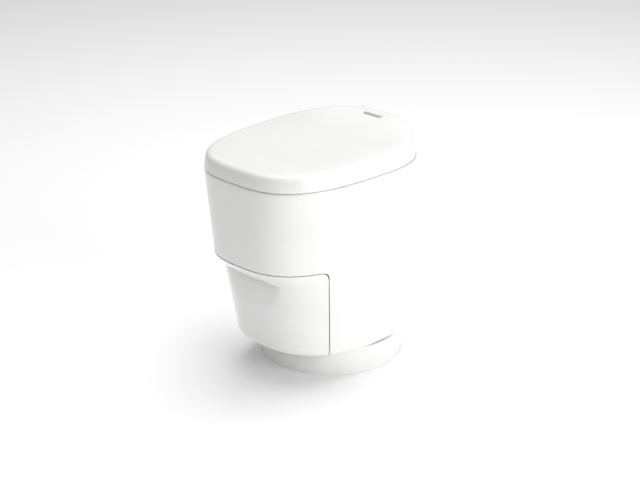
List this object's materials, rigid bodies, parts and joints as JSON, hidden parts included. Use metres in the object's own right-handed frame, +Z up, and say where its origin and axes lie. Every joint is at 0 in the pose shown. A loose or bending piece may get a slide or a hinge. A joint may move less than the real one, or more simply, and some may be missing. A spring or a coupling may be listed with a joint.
{
  "type": "cassette toilet",
  "caption": "White rv cassette toilet on a round swivel pedestal, with a hinged seat and lid, a front drawer on telescopic rails and a removable waste cassette with a sliding blade valve.",
  "frame": {"origin": "on the floor, under the centre of the overall box", "axes": "+Z up, -Y the front (drawer side), +X to the left of a person sitting on it"},
  "size_m": [0.386, 0.492, 0.5615],
  "materials": {
    "gloss_white": "glossy moulded white plastic",
    "bowl_white": "very glossy white bowl surface",
    "grey_plastic": "moulded grey plastic",
    "dark_plastic": "fine-grained dark grey plastic",
    "pale_plastic": "unpainted pale grey structural plastic",
    "tank_plastic": "blow-moulded slate grey polyethylene",
    "orange_plastic": "orange service plastic",
    "steel": "zinc-plated folded steel",
    "chrome_badge": "bright blank badge",
    "black_rubber": "soft black rubber",
    "grey_rubber": "soft grey rubber",
    "lamp_green": "clear tinted lamp",
    "button_silver": "satin silver button",
    "float_cream": "foam float",
    "magnet_black": "magnet block in a dark case"
  },
  "bodies": {
    "pedestal": {"pedestal": "gloss_white", "swivel_ring": "grey_plastic", "swivel_retainer": "steel"},
    "shell": {"base_plate": "pale_plastic", "body_shell": "gloss_white", "bay_roof": "pale_plastic", "bowl": "bowl_white", "bowl_nozzle": "grey_plastic", "flush_pipe": "grey_plastic", "flush_valve": "dark_plastic", "water_inlet": "grey_plastic", "valve_actuator": "dark_plastic", "control_panel": "dark_plastic", "level_lamps": "lamp_green", "fixed_rails": "steel", "hinge_base": "gloss_white", "hinge_pin": "steel", "drawer_magnets": "magnet_black"},
    "flush_button": {"flush_button": "button_silver"},
    "valve_button": {"valve_button": "button_silver"},
    "dog": {"valve_dog": "steel"},
    "middle": {"middle_rails": "steel"},
    "drawer": {"drawer_rails": "steel", "drawer_front": "gloss_white", "drawer_tray": "pale_plastic", "drawer_keepers": "steel", "tray_screws": "steel", "cassette_tank": "tank_plastic", "blade_housing": "dark_plastic", "blade_cover": "dark_plastic", "lip_seal": "black_rubber", "spout_seal": "black_rubber", "wheel_axle": "steel", "float_pivot": "grey_plastic", "tank_handle": "dark_plastic", "flange_screws": "steel"},
    "gear": {"opener_gear": "orange_plastic"},
    "blade": {"valve_blade": "grey_plastic"},
    "spout": {"spout_elbow": "tank_plastic"},
    "cap": {"spout_cap": "orange_plastic"},
    "vent": {"vent_button": "orange_plastic"},
    "left_wheel": {"left_wheel": "dark_plastic"},
    "right_wheel": {"right_wheel": "dark_plastic"},
    "float": {"level_float": "float_cream"},
    "seat": {"seat_ring": "gloss_white", "seat_brackets": "gloss_white", "seat_buffers": "grey_rubber"},
    "lid": {"lid_shell": "gloss_white", "lid_brackets": "gloss_white", "lid_buffers": "grey_rubber", "lid_badge": "chrome_badge"}
  },
  "joints": [
    {"name": "swivel", "type": "hinge", "parent": "pedestal", "child": "shell", "pos_m": [0, 0.063, 0], "axis": [0, 0, 1], "range_deg": [-90, 90]},
    {"name": "flush_press", "type": "slide", "parent": "shell", "child": "flush_button", "axis": [0.999, 0, 0.0449], "range_m": [0, 0.002], "stiffness_N_per_m": 400, "springref_m": -0.001},
    {"name": "valve_press", "type": "slide", "parent": "shell", "child": "valve_button", "axis": [0.999, 0, 0.0449], "range_m": [0, 0.002], "stiffness_N_per_m": 400, "springref_m": -0.001},
    {"name": "valve_turn", "type": "hinge", "parent": "shell", "child": "dog", "pos_m": [-0.0865, -0.038, 0.29], "axis": [0, 0, 1], "range_deg": [-120, 0]},
    {"name": "drawer_slide", "type": "slide", "parent": "shell", "child": "drawer", "axis": [0, -1, 0], "range_m": [0, 0.29]},
    {"name": "rail_slide", "type": "slide", "parent": "shell", "child": "middle", "axis": [0, -1, 0], "range_m": [0, 0.145]},
    {"name": "opener_turn", "type": "hinge", "parent": "drawer", "child": "gear", "pos_m": [-0.0865, -0.038, 0.277], "axis": [0, 0, 1], "range_deg": [-120, 0]},
    {"name": "blade_slide", "type": "slide", "parent": "drawer", "child": "blade", "axis": [0, -1, 0], "range_m": [0, 0.08379]},
    {"name": "spout_turn", "type": "hinge", "parent": "drawer", "child": "spout", "pos_m": [0.096, 0.121, 0.248], "axis": [0, 0, 1], "range_deg": [-90, 0]},
    {"name": "cap_turn", "type": "hinge", "parent": "spout", "child": "cap", "pos_m": [0.015, 0.121, 0.248], "axis": [1, 0, 0], "range_deg": [0, 90]},
    {"name": "vent_press", "type": "slide", "parent": "drawer", "child": "vent", "axis": [0, 0, -1], "range_m": [0, 0.004], "stiffness_N_per_m": 300, "springref_m": -0.002},
    {"name": "left_wheel_spin", "type": "hinge", "parent": "drawer", "child": "left_wheel", "pos_m": [0.075, 0.128, 0.1233], "axis": [1, 0, 0], "continuous": true},
    {"name": "right_wheel_spin", "type": "hinge", "parent": "drawer", "child": "right_wheel", "pos_m": [-0.075, 0.128, 0.1233], "axis": [1, 0, 0], "continuous": true},
    {"name": "float_swing", "type": "hinge", "parent": "drawer", "child": "float", "pos_m": [0.06, -0.04, 0.215], "axis": [1, 0, 0], "range_deg": [0, 75]},
    {"name": "seat_hinge", "type": "hinge", "parent": "shell", "child": "seat", "pos_m": [0, 0.226, 0.54353], "axis": [-1, 0, 0], "range_deg": [0, 92]},
    {"name": "lid_hinge", "type": "hinge", "parent": "seat", "child": "lid", "pos_m": [0, 0.226, 0.54353], "axis": [-1, 0, 0], "range_deg": [0, 100]}
  ],
  "couplings": [
    {"joint": "opener_turn", "follows": "valve_turn", "ratio": 1},
    {"joint": "blade_slide", "follows": "valve_turn", "m_per_rad": -0.04},
    {"joint": "rail_slide", "follows": "drawer_slide", "ratio": 0.5}
  ]
}
